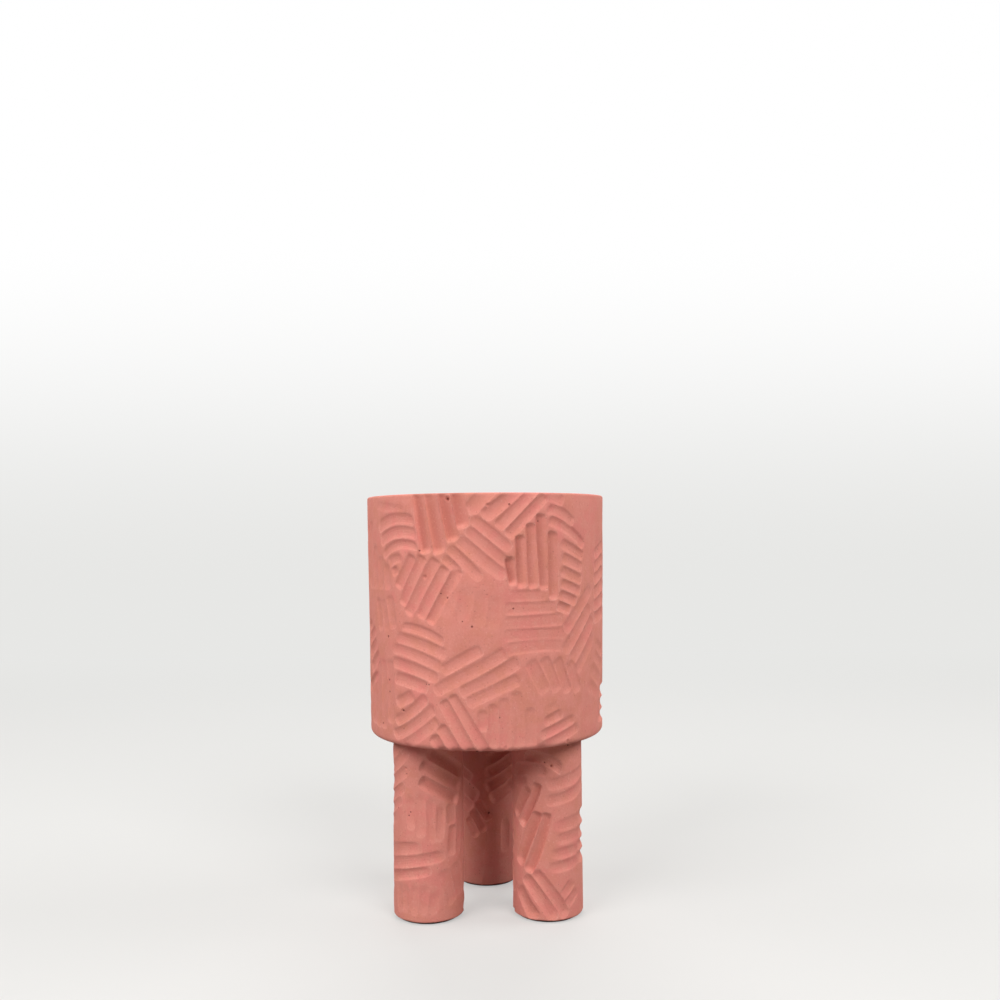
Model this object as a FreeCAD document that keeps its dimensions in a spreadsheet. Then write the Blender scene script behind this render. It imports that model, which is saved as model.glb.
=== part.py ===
# A cast planter on three round legs, in millimetres.
# Origin: the floor under the pot's own axis. +Z is up and -Y is the front.
import FreeCAD, Part
import Sketcher
import math
import os

# Driving sizes: alias, value in millimetres or degrees, and what it sets
SIZES = [
    ("undersideHeight", 101.0, "floor to the pot's flat underside"),
    ("potHeight", 138.5, "pot underside to rim"),
    ("rimRadius", 71.0, "outside of the pot at the rim"),
    ("baseDraft", 2.0, "how much further in the outside is at the underside, before rounding"),
    ("baseRounding", 3.0, "rounding of the pot's lower outside edge"),
    ("wallThickness", 9.0, "pot wall at the rim"),
    ("lowerWall", 8.5, "pot wall at its floor, measured in from the underside's edge"),
    ("cavityRounding", 8.0, "rounding between the cavity's wall and floor"),
    ("floorThickness", 14.0, "pot floor"),
    ("rimOuterRounding", 2.0, "outside edge of the rim"),
    ("rimInnerRounding", 1.5, "inside edge of the rim"),
    ("drainRadius", 8.0, "drain hole through the pot floor"),
    ("drainDish", 2.0, "bevel that leads water into the drain hole"),
    ("legInset", 9.0, "underside's edge to the outer side of a leg"),
    ("legInnerReach", 19.0, "pot axis to the inner side of a leg, which leaves room for the plug"),
    ("rearLegAngle", 90.0, "direction of the rear leg, from +X"),
    ("legTopBevel", 0.8, "edge at a leg's hidden top"),
    ("footRounding", 1.8, "rounding of a leg's lower edge"),
    ("socketDepth", 3.0, "recess under the pot that takes a leg"),
    ("mortarBed", 1.0, "mortar between a leg's top and its socket"),
    ("mortarSide", 0.5, "mortar between a leg's side and its socket"),
    ("mortarRake", 1.2, "depth to which the mortar joint is raked out"),
    ("pinRadius", 4.0, "steel pin that ties a leg to the pot"),
    ("pinInLeg", 30.0, "pin length held in the leg"),
    ("pinInPot", 6.0, "pin length held in the pot floor"),
    ("pinClearance", 0.3, "gap round a pin and past each of its ends"),
    ("pinBevel", 0.8, "edge at both ends of a pin"),
    ("ribPitch", 4.0, "distance between a pin's keying grooves"),
    ("ribGroove", 1.2, "width of a keying groove"),
    ("ribDepth", 0.5, "depth of a keying groove"),
    ("padThickness", 1.0, "felt pad under a leg"),
    ("padInset", 2.5, "leg edge to pad edge"),
    ("plugClearance", 0.05, "gap between the plug's sealing beads and the hole"),
    ("plugShankLength", 11.0, "plug length inside the drain hole"),
    ("plugBead", 0.45, "height of a sealing bead on the shank"),
    ("plugBeadPitch", 3.2, "distance between the sealing beads"),
    ("plugFlangeLip", 4.5, "how far the plug's stop flange reaches past the drain hole's edge"),
    ("plugFlangeThickness", 2.6, "plug flange"),
    ("plugNeckRadius", 3.2, "neck between the flange and the pull knob"),
    ("plugNeckLength", 4.0, "flange to pull knob"),
    ("plugKnobRadius", 6.0, "pull knob"),
    ("plugKnobThickness", 4.0, "pull knob"),
    ("plugRounding", 0.9, "edges of the plug's flange, knob and tip"),
    ("sameSize", 0.001, "two sizes closer than this are the same"),
]

LEG_NAMES = ["rear", "front_left", "front_right"]  # counter-clockwise, seen from above
FULL_TURN = 360.0

# Sizes that several pieces share, as expressions in the driving sizes
BASE_RADIUS = "(Sizes.rimRadius - Sizes.baseDraft)"
CAVITY_FLOOR_RADIUS = f"({BASE_RADIUS} - Sizes.lowerWall)"
LEG_RADIUS = f"(({BASE_RADIUS} - Sizes.legInset - Sizes.legInnerReach) / 2)"
LEG_SPREAD = f"(Sizes.legInnerReach + {LEG_RADIUS})"
LEG_TOP = "Sizes.undersideHeight + Sizes.socketDepth - Sizes.mortarBed"
LEG_LENGTH = f"{LEG_TOP} - Sizes.padThickness"
SOCKET_RADIUS = f"{LEG_RADIUS} + Sizes.mortarSide"
PIN_HOLE_RADIUS = "Sizes.pinRadius + Sizes.pinClearance"
PIN_LENGTH = "Sizes.pinInLeg + Sizes.mortarBed + Sizes.pinInPot"

doc = FreeCAD.newDocument("planter")
sheet = doc.addObject("Spreadsheet::Sheet", "Sizes")
for row, (alias, value, note) in enumerate(SIZES, start=1):
    sheet.set(f"A{row}", note)
    sheet.set(f"B{row}", str(value))
    sheet.setAlias(f"B{row}", alias)
doc.recompute()


def worth(expression):
    """The number that an expression in the driving sizes comes to."""
    return float(sheet.evalExpression(expression))


# Sketches and edges
def new_body(name):
    body = doc.addObject("PartDesign::Body", name)
    body.Label = name
    return body


def origin_part(body, role):
    """One of the piece's own origin planes or axes."""
    return next(part for part in body.Origin.OriginFeatures if part.Role == role)


def new_sketch(body, name, plane, height="0"):
    """A sketch on one of the piece's own planes, raised by an expression if one is given."""
    sketch = body.newObject("Sketcher::SketchObject", name)
    sketch.AttachmentSupport = (origin_part(body, plane), [""])
    sketch.MapMode = "FlatFace"
    if height != "0":
        sketch.setExpression("AttachmentOffset.Base.z", height)
    return sketch


def dimension(sketch, kind, where, expression, name):
    """Adds a dimension that follows an expression in the driving sizes."""
    index = sketch.addConstraint(Sketcher.Constraint(kind, *where, worth(expression)))
    sketch.renameConstraint(index, name)
    sketch.setExpression(f"Constraints.{name}", expression)


def place_point(sketch, edge, end, across, up, name):
    """Holds a sketch point at two expressions; a zero puts it on that axis."""
    for kind, expression, axis in (("DistanceX", across, -2), ("DistanceY", up, -1)):
        if expression == "0":
            sketch.addConstraint(Sketcher.Constraint("PointOnObject", edge, end, axis))
        else:
            where = (-1, 1, edge, end)
            dimension(sketch, kind, where, expression, f"{name}{kind[-1]}")


def circle(body, name, radius, out="0", height="0"):
    """A circle on the base plane, its centre that far along +Y."""
    sketch = new_sketch(body, name, "XY_Plane", height)
    centre = FreeCAD.Vector(0, worth(out), 0)
    edge = sketch.addGeometry(Part.Circle(centre, FreeCAD.Vector(0, 0, 1), worth(radius)), False)
    place_point(sketch, edge, 3, "0", out, "centre")
    dimension(sketch, "Radius", (edge,), radius, "radius")
    return sketch


def outline(body, name, corners):
    """A closed outline in the XZ plane. Each corner is a pair of expressions: across and up."""
    sketch = new_sketch(body, name, "XZ_Plane")
    points = [FreeCAD.Vector(worth(across), worth(up), 0) for across, up in corners]
    count = len(corners)
    for i in range(count):
        sketch.addGeometry(Part.LineSegment(points[i], points[(i + 1) % count]), False)
    for i in range(count):
        sketch.addConstraint(Sketcher.Constraint("Coincident", i, 2, (i + 1) % count, 1))
    for i, (across, up) in enumerate(corners):
        place_point(sketch, i, 1, across, up, f"corner{i}")
    return sketch


def ring_edges(feature, rings):
    """Names of the round edges given as radius and height expressions, in the piece's own frame."""
    doc.recompute()
    near = worth("Sizes.sameSize")
    found = []
    for radius, height in rings:
        wanted = (worth(radius), worth(height))
        names = [
            f"Edge{number}"
            for number, edge in enumerate(feature.Shape.Edges, start=1)
            if isinstance(edge.Curve, Part.Circle)
            and abs(edge.Curve.Radius - wanted[0]) < near
            and abs(edge.Curve.Center.z - wanted[1]) < near
        ]
        if not names:
            raise ValueError(f"{feature.Label} has no round edge at {radius}, {height}")
        found.extend(names)
    return found


# Features
def revolve(body, name, sketch, kind="PartDesign::Revolution"):
    feature = body.newObject(kind, name)
    feature.Profile = sketch
    feature.ReferenceAxis = (sketch, ["V_Axis"])
    feature.Angle = FULL_TURN
    return feature


def pad(body, name, sketch, length):
    feature = body.newObject("PartDesign::Pad", name)
    feature.Profile = sketch
    feature.setExpression("Length", length)
    return feature


def pocket_up(body, name, sketch, length):
    """Cuts from the sketch upwards, into the solid above it, and checks that it cut."""
    doc.recompute()
    before = body.Shape.Volume
    feature = body.newObject("PartDesign::Pocket", name)
    feature.Profile = sketch
    feature.Reversed = True
    feature.setExpression("Length", length)
    doc.recompute()
    if body.Shape.Volume >= before:
        raise ValueError(f"{name} cut nothing")
    return feature


def round_off(body, name, base, radius, rings):
    """Rounds the round edges given as radius and height expressions."""
    feature = body.newObject("PartDesign::Fillet", name)
    feature.Base = (base, ring_edges(base, rings))
    feature.setExpression("Radius", radius)
    return feature


def bevel(body, name, base, width, rings):
    """Bevels the round edges given as radius and height expressions."""
    feature = body.newObject("PartDesign::Chamfer", name)
    feature.Base = (base, ring_edges(base, rings))
    feature.setExpression("Size", width)
    return feature


def repeat_up(body, name, feature, step, count):
    """Repeats a feature up the piece's own Z axis, count places a step apart."""
    pattern = body.newObject("PartDesign::LinearPattern", name)
    pattern.Originals = [feature]
    pattern.Direction = (origin_part(body, "Z_Axis"), [""])
    pattern.Mode = "Spacing"
    pattern.setExpression("Offset", step)
    pattern.Occurrences = count
    body.Tip = pattern


def stand_on_leg_axis(body, turn, height):
    """Places a piece on the axis of the leg at that turn from the rear leg."""
    angle = f"(Sizes.rearLegAngle + {turn}) * 1 deg"
    body.setExpression("Placement.Base.x", f"{LEG_SPREAD} * cos({angle})")
    body.setExpression("Placement.Base.y", f"{LEG_SPREAD} * sin({angle})")
    body.setExpression("Placement.Base.z", height)


# Pieces
def make_pot():
    """The cast pot: a slightly flared cup with a drain hole, and a socket and pin hole per leg."""
    body = new_body("pot")
    cavity_rim = "Sizes.rimRadius - Sizes.wallThickness"
    profile = outline(body, "PotProfile", [
        ("Sizes.drainRadius", "0"),
        (BASE_RADIUS, "0"),
        ("Sizes.rimRadius", "Sizes.potHeight"),
        (cavity_rim, "Sizes.potHeight"),
        (CAVITY_FLOOR_RADIUS, "Sizes.floorThickness"),
        ("Sizes.drainRadius", "Sizes.floorThickness"),
    ])
    part = revolve(body, "PotShell", profile)
    part = round_off(body, "BaseRounding", part, "Sizes.baseRounding", [(BASE_RADIUS, "0")])
    part = round_off(body, "CavityRounding", part, "Sizes.cavityRounding",
                     [(CAVITY_FLOOR_RADIUS, "Sizes.floorThickness")])
    part = round_off(body, "RimOuterRounding", part, "Sizes.rimOuterRounding",
                     [("Sizes.rimRadius", "Sizes.potHeight")])
    part = round_off(body, "RimInnerRounding", part, "Sizes.rimInnerRounding",
                     [(cavity_rim, "Sizes.potHeight")])
    bevel(body, "DrainDish", part, "Sizes.drainDish",
          [("Sizes.drainRadius", "Sizes.floorThickness")])
    socket_circle = circle(body, "LegSocketCircle", SOCKET_RADIUS, out=LEG_SPREAD)
    socket = pocket_up(body, "LegSocket", socket_circle, "Sizes.socketDepth")
    pin_circle = circle(body, "PinHoleCircle", PIN_HOLE_RADIUS, out=LEG_SPREAD)
    pin_hole = pocket_up(body, "PinHole", pin_circle,
                         "Sizes.socketDepth + Sizes.pinInPot + Sizes.pinClearance")
    sockets = body.newObject("PartDesign::PolarPattern", "LegSockets")
    sockets.Originals = [socket, pin_hole]
    sockets.Axis = (origin_part(body, "Z_Axis"), [""])
    sockets.Angle = FULL_TURN
    sockets.Occurrences = len(LEG_NAMES)
    body.Tip = sockets
    # The first socket is drawn on +Y, so the pot turns with the rear leg
    body.setExpression("Placement.Rotation.Angle", "(Sizes.rearLegAngle - 90) * 1 deg")
    body.setExpression("Placement.Base.z", "Sizes.undersideHeight")
    return body


def make_leg(name, turn):
    """One cast leg: a solid round bar with a rounded foot and a pin hole in its top."""
    body = new_body(f"{name}_leg")
    bar = pad(body, "Bar", circle(body, "BarCircle", LEG_RADIUS), LEG_LENGTH)
    foot = round_off(body, "FootRounding", bar, "Sizes.footRounding", [(LEG_RADIUS, "0")])
    bevel(body, "TopBevel", foot, "Sizes.legTopBevel", [(LEG_RADIUS, LEG_LENGTH)])
    hole_bottom = f"{LEG_LENGTH} - Sizes.pinInLeg - Sizes.pinClearance"
    pin_circle = circle(body, "PinHoleCircle", PIN_HOLE_RADIUS, height=hole_bottom)
    pocket_up(body, "PinHole", pin_circle, "Sizes.pinInLeg + Sizes.pinClearance")
    stand_on_leg_axis(body, turn, "Sizes.padThickness")
    return body


def make_mortar(name, turn):
    """The mortar that beds one leg: a cap over its top and a thin collar round its side."""
    body = new_body(f"{name}_mortar_bed")
    height = "Sizes.socketDepth - Sizes.mortarRake"
    pad(body, "Block", circle(body, "BlockCircle", SOCKET_RADIUS), height)
    leg_circle = circle(body, "LegSeatCircle", LEG_RADIUS)
    pocket_up(body, "LegSeat", leg_circle, f"{height} - Sizes.mortarBed")
    pin_circle = circle(body, "PinPassageCircle", PIN_HOLE_RADIUS)
    pocket_up(body, "PinPassage", pin_circle, height)
    stand_on_leg_axis(body, turn, "Sizes.undersideHeight + Sizes.mortarRake")
    return body


def make_pin(name, turn):
    """One ribbed steel pin, set in the leg and in the pot floor."""
    body = new_body(f"{name}_anchor_pin")
    bar = pad(body, "Bar", circle(body, "BarCircle", "Sizes.pinRadius"), PIN_LENGTH)
    bevel(body, "EndBevels", bar, "Sizes.pinBevel",
          [("Sizes.pinRadius", "0"), ("Sizes.pinRadius", PIN_LENGTH)])
    inner, outer = "Sizes.pinRadius - Sizes.ribDepth", "Sizes.pinRadius + Sizes.ribDepth"
    low, high = "Sizes.ribPitch - Sizes.ribGroove / 2", "Sizes.ribPitch + Sizes.ribGroove / 2"
    notch = outline(body, "NotchProfile", [(inner, low), (outer, low), (outer, high), (inner, high)])
    doc.recompute()
    groove = revolve(body, "KeyingGroove", notch, "PartDesign::Groove")
    grooves = math.floor(worth(f"({PIN_LENGTH} - Sizes.ribGroove) / Sizes.ribPitch"))
    repeat_up(body, "KeyingGrooves", groove, "Sizes.ribPitch", max(grooves, 1))
    stand_on_leg_axis(body, turn, f"{LEG_TOP} - Sizes.pinInLeg")
    return body


def make_foot_pad(name, turn):
    """One thin felt pad under a leg."""
    body = new_body(f"{name}_foot_pad")
    disc = circle(body, "DiscCircle", f"{LEG_RADIUS} - Sizes.padInset")
    pad(body, "Disc", disc, "Sizes.padThickness")
    stand_on_leg_axis(body, turn, "0")
    return body


def make_drain_plug():
    """The rubber drain plug: a beaded shank, a stop flange and a pull knob under it."""
    body = new_body("drain_plug")
    shank = "Sizes.drainRadius - Sizes.plugClearance - Sizes.plugBead"
    flange = "Sizes.drainRadius + Sizes.plugFlangeLip"
    neck_top = "Sizes.plugKnobThickness + Sizes.plugNeckLength"
    flange_top = f"{neck_top} + Sizes.plugFlangeThickness"
    tip = f"{flange_top} + Sizes.plugShankLength"
    profile = outline(body, "PlugProfile", [
        ("0", "0"),
        ("Sizes.plugKnobRadius", "0"),
        ("Sizes.plugKnobRadius", "Sizes.plugKnobThickness"),
        ("Sizes.plugNeckRadius", "Sizes.plugKnobThickness"),
        ("Sizes.plugNeckRadius", neck_top),
        (flange, neck_top),
        (flange, flange_top),
        (shank, flange_top),
        (shank, tip),
        ("0", tip),
    ])
    turned = revolve(body, "TurnedPlug", profile)
    round_off(body, "PlugRounding", turned, "Sizes.plugRounding", [
        ("Sizes.plugKnobRadius", "0"),
        ("Sizes.plugKnobRadius", "Sizes.plugKnobThickness"),
        (flange, neck_top),
        (shank, tip),
    ])
    inside = f"{shank} - Sizes.plugBead"
    foot = f"{flange_top} + Sizes.plugBeadPitch / 2"
    bead = outline(body, "BeadProfile", [
        (inside, foot),
        (shank, foot),
        (f"{shank} + Sizes.plugBead", f"{foot} + Sizes.plugBead"),
        (shank, f"{foot} + 2 * Sizes.plugBead"),
        (inside, f"{foot} + 2 * Sizes.plugBead"),
    ])
    ring = revolve(body, "SealingBead", bead)
    beads = math.floor(worth("(Sizes.plugShankLength - Sizes.plugRounding) / Sizes.plugBeadPitch"))
    repeat_up(body, "SealingBeads", ring, "Sizes.plugBeadPitch", max(beads, 1))
    body.setExpression("Placement.Base.z", f"Sizes.undersideHeight - ({flange_top})")
    return body


pieces = [make_pot(), make_drain_plug()]
for number, leg_name in enumerate(LEG_NAMES):
    leg_turn = number * FULL_TURN / len(LEG_NAMES)
    for make in (make_leg, make_mortar, make_pin, make_foot_pad):
        pieces.append(make(leg_name, leg_turn))
doc.recompute()

# Nothing is written unless every feature and every piece is sound
for thing in doc.Objects:
    if "Invalid" in thing.State or "Error" in thing.State:
        raise ValueError(f"{thing.Label} failed: {thing.State}")
for piece in pieces:
    shape = piece.Shape
    if shape.isNull() or not shape.isValid() or not shape.Solids:
        raise ValueError(f"{piece.Label} has no sound shape")
os.makedirs("parts", exist_ok=True)
for piece in pieces:
    piece.Shape.exportStep(f"parts/{piece.Label}.step")
    print(f"{piece.Label}: {len(piece.Shape.Solids)} solid, {piece.Shape.Volume / 1000:.2f} cm3")
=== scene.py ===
import math
import bmesh
import bpy
import numpy as np
from mathutils import Matrix


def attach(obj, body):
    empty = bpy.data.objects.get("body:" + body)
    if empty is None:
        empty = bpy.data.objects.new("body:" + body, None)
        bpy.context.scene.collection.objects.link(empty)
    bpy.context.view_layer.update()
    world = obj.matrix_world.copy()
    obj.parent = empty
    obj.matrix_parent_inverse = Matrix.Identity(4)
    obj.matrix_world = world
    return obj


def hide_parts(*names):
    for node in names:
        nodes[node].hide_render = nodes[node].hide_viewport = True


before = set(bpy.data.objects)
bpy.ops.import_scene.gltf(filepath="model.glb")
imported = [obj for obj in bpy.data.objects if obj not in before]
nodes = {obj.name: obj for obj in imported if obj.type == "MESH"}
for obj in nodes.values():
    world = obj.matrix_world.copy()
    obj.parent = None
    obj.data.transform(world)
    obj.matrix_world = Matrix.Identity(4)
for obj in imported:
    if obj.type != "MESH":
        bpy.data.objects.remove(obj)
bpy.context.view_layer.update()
mm = 0.001
print("frame loaded:", len(nodes), "pieces")

legTurns = {"front_left": -60.0, "front_right": 60.0, "rear": 180.0}    # degrees round from the front
legSpread, pinHoleRadius = 39.5, 4.3    # millimetres, as in the part
fullTurn = 360.0
tiny = 1e-9
wallShare = 0.99    # a row belongs to the wall where its normal points outwards at least this much


# outlines and grids, in millimetres until a piece is made

def roundedOutline(corners, radii, steps, arcSteps):
    # The corners joined by straight runs, each corner replaced by an arc tangent to both of its runs.
    # The normal is the way of the walk turned a quarter to the right, so it points out of the piece.
    corners = np.array(corners, float)
    runs = np.diff(corners, axis=0)
    ways = runs / np.linalg.norm(runs, axis=1)[:, None]
    normals = np.stack([ways[:, 1], -ways[:, 0]], 1)
    points, facing, start = [corners[:1]], [normals[:1]], corners[0]
    for i in range(len(runs)):
        last = i == len(runs) - 1
        radius = 0 if last else radii[i]
        if radius:
            bend = ways[i, 0] * ways[i + 1, 1] - ways[i, 1] * ways[i + 1, 0]
            turn = math.atan2(bend, ways[i] @ ways[i + 1])
            end = corners[i + 1] - ways[i] * radius * math.tan(abs(turn) / 2)
        else:
            end = corners[i + 1]
        count = max(1, round(np.linalg.norm(end - start) / steps[i]))
        share = np.arange(1, count + 1)[:, None] / count
        points.append(start + (end - start) * share)
        facing.append(np.repeat(normals[i:i + 1], count, 0))
        start = end
        if radius:
            side = math.copysign(1, turn)
            centre = end - side * radius * normals[i]
            first = math.atan2(normals[i, 1], normals[i, 0])
            angles = first + turn * np.arange(1, arcSteps + 1) / arcSteps
            around = np.stack([np.cos(angles), np.sin(angles)], 1)
            points.append(centre + side * radius * around)
            facing.append(around)
            start = points[-1][-1]
    return np.concatenate(points), np.concatenate(facing)


def ring(radii, heights, angles, centre=(0, 0)):
    # Points at (radius * sin(angle), -radius * cos(angle), height) from an axis; angle 0 is the front.
    turn = np.radians(angles)
    x = centre[0] + radii * np.sin(turn)
    y = centre[1] - radii * np.cos(turn)
    return np.stack(np.broadcast_arrays(x, y, heights), -1)


def evenAngles(columns):
    return np.arange(columns) * fullTurn / columns


def legCentre(name):
    return ring(legSpread, 0, legTurns[name])[:2]


def gridTriangles(ids, depth=None):
    # Two triangles for each square between two rows, wrapped round; the cut runs along the flatter diagonal.
    a, b = ids[:-1], np.roll(ids[:-1], -1, 1)
    d, c = ids[1:], np.roll(ids[1:], -1, 1)
    if depth is None:
        depth = np.zeros(ids.shape)
    ha, hb = depth[:-1], np.roll(depth[:-1], -1, 1)
    hd, hc = depth[1:], np.roll(depth[1:], -1, 1)
    flat = (np.abs(ha - hc) <= np.abs(hb - hd))[..., None]
    first = np.where(flat, np.stack([a, b, c], -1), np.stack([a, b, d], -1))
    second = np.where(flat, np.stack([a, c, d], -1), np.stack([b, c, d], -1))
    return np.concatenate([first.reshape(-1, 3), second.reshape(-1, 3)])


def halveRing(dense, coarse):
    # Three triangles for each two steps of a dense ring that meet one step of a coarse ring after it.
    a, m, b = dense[0::2], dense[1::2], np.roll(dense[0::2], -1)
    d, c = coarse, np.roll(coarse, -1)
    return np.concatenate([np.stack(t, 1) for t in ((a, m, d), (m, c, d), (m, b, c))])


def doubleRing(coarse, dense):
    # The same, where the coarse ring comes first.
    a, b = coarse, np.roll(coarse, -1)
    d, m, c = dense[0::2], dense[1::2], np.roll(dense[0::2], -1)
    return np.concatenate([np.stack(t, 1) for t in ((a, b, m), (a, m, d), (b, c, m))])


def walkedLength(points):
    # The length walked along an outline up to each of its points.
    return np.cumsum(np.linalg.norm(np.diff(points, axis=0, prepend=points[:1]), axis=1))


# how a mesh is closed: lengths in millimetres, the angle in degrees
meshLook = {"mergeWithin": 0.002, "shortestEdge": 0.0005, "sharpAngle": 70, "mostTriangles": 190000}
wallValues = ["groove", "across", "along", "toolMark"]


class Shell:
    # collects vertex rows, their values and triangles, then makes one closed mesh of them
    def __init__(self):
        self.points, self.values, self.triangles, self.count = [], [], [], 0

    def add(self, points, values=None):
        ids = np.arange(self.count, self.count + points[..., 0].size).reshape(points.shape[:-1])
        self.count += ids.size
        self.points.append(points.reshape(-1, 3))
        width = len(wallValues)
        self.values.append(np.zeros((ids.size, width)) if values is None else values.reshape(-1, width))
        return ids

    def faces(self, triangles):
        self.triangles.append(triangles.reshape(-1, 3))

    def closeRing(self, ids, point, before):
        # A fan from a ring to one middle point, which lies before or after the ring on the walk.
        middle = self.add(np.array(point, float).reshape(1, 3))[0]
        after = np.roll(ids, -1)
        middle = np.full(len(ids), middle)
        self.faces(np.stack([middle, after, ids] if before else [ids, after, middle], 1))

    def piece(self, name, material, slotName):
        points, triangles = np.concatenate(self.points) * mm, np.concatenate(self.triangles)
        mesh = bpy.data.meshes.new(name)
        mesh.vertices.add(len(points))
        mesh.vertices.foreach_set("co", points.astype(np.float32).ravel())
        mesh.loops.add(triangles.size)
        mesh.loops.foreach_set("vertex_index", triangles.astype(np.int32).ravel())
        mesh.polygons.add(len(triangles))
        mesh.polygons.foreach_set("loop_start", np.arange(0, triangles.size, 3, dtype=np.int32))
        mesh.update(calc_edges=True)
        values = np.concatenate(self.values).astype(np.float32)
        for column, label in enumerate(wallValues):
            mesh.attributes.new(label, "FLOAT", "POINT").data.foreach_set("value", values[:, column].copy())
        shape = bmesh.new()
        shape.from_mesh(mesh)
        bmesh.ops.remove_doubles(shape, verts=shape.verts, dist=meshLook["mergeWithin"] * mm)
        bmesh.ops.dissolve_degenerate(shape, edges=shape.edges, dist=meshLook["shortestEdge"] * mm)
        openEdges = sum(not edge.is_manifold for edge in shape.edges)
        shape.to_mesh(mesh)
        shape.free()
        piece = bpy.data.objects.new(name, mesh)
        bpy.context.scene.collection.objects.link(piece)
        if len(mesh.polygons) > meshLook["mostTriangles"]:
            thin = piece.modifiers.new("thin", "DECIMATE")
            thin.ratio = meshLook["mostTriangles"] / len(mesh.polygons)
            graph = bpy.context.evaluated_depsgraph_get()
            mesh = bpy.data.meshes.new_from_object(piece.evaluated_get(graph))
            piece.modifiers.clear()
            piece.data = mesh
        mesh.polygons.foreach_set("use_smooth", np.ones(len(mesh.polygons), bool))
        mesh.set_sharp_from_angle(angle=math.radians(meshLook["sharpAngle"]))
        mesh.materials.append(material)
        print(f"{name}: {len(mesh.polygons)} triangles, {openEdges} open edges")
        return piece


# carving

# what one scooped stroke is like: lengths in millimetres
strokeLook = {
    "depthScale": 1.3,       # on every depth in the tables
    "halfWidth": 3.8,        # middle of a groove to where it runs out, where strokes lie 7 mm apart
    "spacingShare": 0.56,    # half width as a share of the way to the next stroke
    "widthRange": (3.3, 5.2),
    "roundness": 2.3,        # 2 is a round scoop, more is flatter with steeper sides
    "lean": 0.0,             # how far left of the way the deepest line lies, as a share of the half width
    "fade": 2.0,             # length over which a stroke sinks in and runs out; a patch can give its own
    "fadeFrom": -0.6,        # where it starts to, in half widths in from the stroke's ends
    "softness": 28.0,        # ridge sharpness, per millimetre of depth
    "lowest": -0.4,          # depth below which a stroke no longer counts
    "endTaper": 0.12,        # share of the depth lost towards a stroke's ends
    "depthSpread": 0.12,     # how uneven the strokes are
    "widthSpread": 0.07,
    "wobble": 0.22,          # how far a stroke strays from its line
    "wobbleLength": 9.0,
    "endPull": 0.4,          # how far short of its ends the full depth stops, as a share of the half width
    "endPullMost": 0.4,      # the same as a share of the length, at most
    "margin": 1.3,           # how far out from its line a stroke is worked out, in half widths
    "markReach": 1.25,       # where its tool mark ends, in half widths
    "markEdge": 4,
    "markDepth": 1.3,        # depth at which the tool mark has its full strength
    "markPower": 1.5,
    "markStep": 40.0,        # how far one stroke's mark is moved on from the last one's
}


def wrapAngle(angle):
    return (angle + fullTurn / 2) % fullTurn - fullTurn / 2


def smooth(low, high, value):
    share = np.clip((value - low) / (high - low), 0, 1)
    return share * share * (3 - 2 * share)


def spacing(strokes, radius):
    # The way from each stroke's middle to its neighbours' lines, square to the stroke, on average.
    ends = np.array([(s[0], s[1], s[-2], s[-1]) for s in strokes], float)
    ends[:, 0::2] *= math.radians(1) * radius
    middles, ways = (ends[:, :2] + ends[:, 2:]) / 2, ends[:, 2:] - ends[:, :2]
    ways /= np.linalg.norm(ways, axis=1, keepdims=True)
    steps = np.diff(middles, axis=0)
    gaps = np.abs(steps[:, 0] * ways[:-1, 1] - steps[:, 1] * ways[:-1, 0])
    if not len(gaps):
        return np.full(1, strokeLook["halfWidth"] / strokeLook["spacingShare"])
    return (np.concatenate([gaps[:1], gaps]) + np.concatenate([gaps, gaps[-1:]])) / 2


def handStrokes(patches, radius, rng):
    # Rows of start, end, bow, depth and half width from patches of listed strokes.
    # A stroke's middle point, if it has one, sets its bow.
    rows = []
    for depth, strokes, *own in patches:
        look = dict(strokeLook, **(own[0] if own else {}))
        widths = np.clip(spacing(strokes, radius) * strokeLook["spacingShare"], *strokeLook["widthRange"])
        for stroke, halfWidth in zip(strokes, widths):
            a0, z0, a1, z1 = stroke[0], stroke[1], stroke[-2], stroke[-1]
            middle = ((a0 + a1) / 2, (z0 + z1) / 2)
            am, zm = stroke[2:-2] or middle
            rows.append((a0, z0, a1, z1, am - middle[0], zm - middle[1],
                         *uneven(strokeLook["depthScale"] * depth, halfWidth, rng),
                         look["roundness"], look["fade"], look["lean"]))
    return rows


def uneven(depth, halfWidth, rng):
    # A stroke's depth and half width, each made a little more or less by chance.
    return (depth * (1 + strokeLook["depthSpread"] * rng.uniform(-1, 1)),
            halfWidth * (1 + strokeLook["widthSpread"] * rng.uniform(-1, 1)))


# what all the filled patches share: lengths in millimetres
patchLook = {
    "beyond": 4,                 # how far strokes run past the wall's top and bottom
    "rowShift": 0.5,             # every second row of patches is moved on by this share of a patch
    "slantStep": 0.618,          # from patch to patch, the slant turns on by this share of half a turn
    "slantSpread": 0.2,
    "bow": 0.06,                 # the most that a stroke bows, as a share of its length
    "depthRange": (0.75, 1.1),
    "offset": 0.5,
    "pitchRange": (0.97, 1.03),
    "fadeRange": (1.0, 7.0),
    "mostStrokes": 6,            # on each side of a patch's middle
}


def onWall(point, radius):
    # A point of the unrolled wall as an angle in degrees and a height.
    return math.degrees(point[0] / radius), point[1]


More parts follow.
